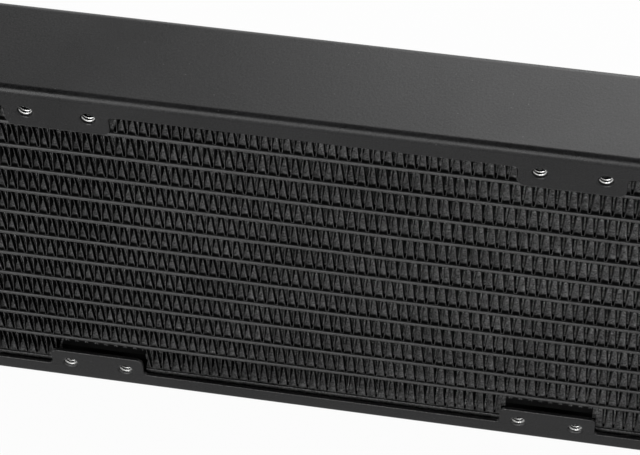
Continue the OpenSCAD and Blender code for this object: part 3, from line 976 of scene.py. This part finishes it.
tank_holes = (("inlet", 1, list(port_heights.values())), ("return", -1, [bleed_height]))
for tank_name, tank_side, tank_hole_heights in tank_holes:
    make_piece("tank_cap_" + tank_name, tank_cap(tank_side, tank_hole_heights), frame_paint,
               "radiator", [tank_name + "_tank"])
repaint("tank_baffle", frame_paint)

# Ports: turned brass rings, pushed through the tank's end as far as their collars and brazed.
# They are painted with the tank and tapped afterwards, so their threads are bare.
port_bore = 6.6
port_spigot = 8.0
port_collar = 9.2
port_inside = 6.0
port_stand = 4.0
bleed_stand = 0.8
port_bevel = 0.5
port_edge = 0.25
spigot_bevel = 0.2
thread_inset = 0.05
thread_clear = 0.02
thread_seat = 0.06
port_steps = 64
port_rows = 12
port_pitch = 1.337
port_thread_crest = 5.75
bleed_thread_crest = 6.3


def port_ring(end, height, stand):
    """A port as one patch: a closed section of (radius, depth past the tank's end), turned round X."""
    bow = round_middle * port_edge
    section = [(port_bore, -port_inside), (port_spigot - spigot_bevel, -port_inside),
               (port_spigot, spigot_bevel - port_inside), (port_spigot, 0), (port_collar, 0),
               (port_collar, stand - port_edge), (port_collar - bow, stand - bow),
               (port_collar - port_edge, stand), (port_bore + port_bevel, stand),
               (port_bore, stand - port_bevel)]
    ring = turned(section, port_steps)
    points = placed(ring[..., :2] + (0, height), x=end * (tank_end + ring[..., 2]))
    return grid_patch(points, closed_rows=True, closed_columns=True)


def port_thread(end, height, crest, stand):
    """A port's thread as one patch: a sleeve in the bore whose inside is threaded."""
    low, high = -port_inside + thread_inset, stand - port_bevel
    thread = threaded_wall(port_bore - thread_clear, crest, port_pitch, low, high, port_steps, port_rows)
    seat = port_bore + thread_seat
    sleeve = np.concatenate([thread, turned([(seat, high), (seat, low)], port_steps)])
    points = placed(sleeve[..., :2] + (0, height), x=end * (tank_end + sleeve[..., 2]))
    return grid_patch(points, closed_rows=True, closed_columns=True)


port_metal = bare_metal("port_metal", (0.72, 0.6, 0.4), 0.28, 0.000004)
ports = [(name, 1, height, port_stand, port_thread_crest) for name, height in port_heights.items()]
ports.append(("bleed", -1, bleed_height, bleed_stand, bleed_thread_crest))
for port_name, port_end, port_height, stand, crest in ports:
    make_piece(port_name + "_port_ring", [port_ring(port_end, port_height, stand)], frame_paint,
               "radiator", [port_name + "_port"])
    make_piece(port_name + "_port_thread", [port_thread(port_end, port_height, crest, stand)], port_metal,
               "radiator", sharp=60)

# Bleed plug: a nickel plated brass screw with a fluted head and a hexagon socket, in the return tank's port.
# It turns out of its thread by hand or with a key.
plug_face = tank_end + bleed_stand
shank_root = 5.45
shank_crest = 6.2
shank_length = 6.0
groove_radius = 8.8
groove_top = 2.3
head_foot = 0.3
head_radius = 9.5
head_top = 3.2
head_edge = 0.2
flute_count = 18
flute_radius = 0.8
flute_centre = 9.9
socket_half = 3.0
socket_depth = 3.5
socket_point = 0.6
socket_floor = 0.98
socket_bevel = 0.3
foot_bevel = 0.15
tip_bevel = 0.5
thread_tip = 0.8
thread_neck = 0.1
head_steps = 216


def plug_body():
    """The plug as patches, each a radius over angle and height above its port: a head whose rim has round
    flutes, a hexagon socket, the groove for the seal, and the threaded shank."""
    angle = np.linspace(0, 2 * np.pi, head_steps, endpoint=False)
    from_flute = (angle + np.pi / flute_count) % (2 * np.pi / flute_count) - np.pi / flute_count
    reach = np.clip(flute_radius ** 2 - (flute_centre * np.sin(from_flute)) ** 2, 0, None)
    cut = np.where(reach > 0, flute_centre * np.cos(from_flute) - np.sqrt(reach), head_radius)
    rim = np.minimum(cut, head_radius)
    full = np.full(head_steps, head_radius)
    from_flat = angle % (np.pi / 3) - np.pi / 6
    hexagon = socket_half / np.cos(from_flat)
    floor_z = head_top - socket_depth
    bow = round_middle * head_edge
    axis = np.zeros(head_steps)
    neck = axis + groove_radius
    shank = axis + shank_root
    rows = [(axis, floor_z - socket_point), (hexagon * socket_floor, floor_z), (hexagon, floor_z),
            (hexagon, head_top - socket_bevel), (hexagon + socket_bevel, head_top),
            (rim - head_edge, head_top), (rim - bow, head_top - bow), (rim, head_top - head_edge),
            (rim, groove_top), (full, groove_top), (full, head_foot + foot_bevel),
            (full - foot_bevel, head_foot), (neck, head_foot), (neck, groove_top), (shank, groove_top),
            (shank, 0.0)]
    thread = threaded_wall(shank_root, shank_crest, port_pitch, thread_tip - shank_length, -thread_neck,
                           head_steps, port_rows)
    rows += [(np.hypot(row[:, 0], row[:, 1]), row[0, 2]) for row in thread[::-1]]
    rows += [(shank - tip_bevel, -shank_length), (axis, -shank_length)]
    radius = np.stack([row[0] for row in rows])
    height = np.stack([np.full(head_steps, row[1]) for row in rows])
    across_y, up_z = radius * np.cos(angle), bleed_height + radius * np.sin(angle)
    points = np.stack([-plug_face - height, across_y, up_z], axis=-1)
    return [grid_patch(points, closed_columns=True)]


plug_nickel = bare_metal("plug_nickel", (0.66, 0.64, 0.6), 0.22, 0.000003)
make_piece("plug_body", plug_body(), plug_nickel, "plug", ["bleed_plug"])

# Plug seal: a moulded ring of black rubber that lies round the plug in the groove under its head.
# The head presses it on the port's face, and it comes out with the plug.
seal_ring = 7.65
seal_thick = 0.85
seal_middle = 1.15
seal_section_steps = 20
seal_steps = 72


def seal_loop():
    """A round section carried round a circle."""
    section = arc((seal_ring, seal_middle), seal_thick, 0, 360, seal_section_steps)[:-1]
    ring = turned(section, seal_steps)
    points = placed(ring[..., :2] + (0, bleed_height), x=-plug_face - ring[..., 2])
    return [grid_patch(points, closed_rows=True, closed_columns=True)]


seal_rubber = black_paint("seal_rubber", grey(0.014), grey(0.03), 0.62, 0.00002, 1.5)
make_piece("plug_ring", seal_loop(), seal_rubber, "plug_seal", ["bleed_plug_seal"])
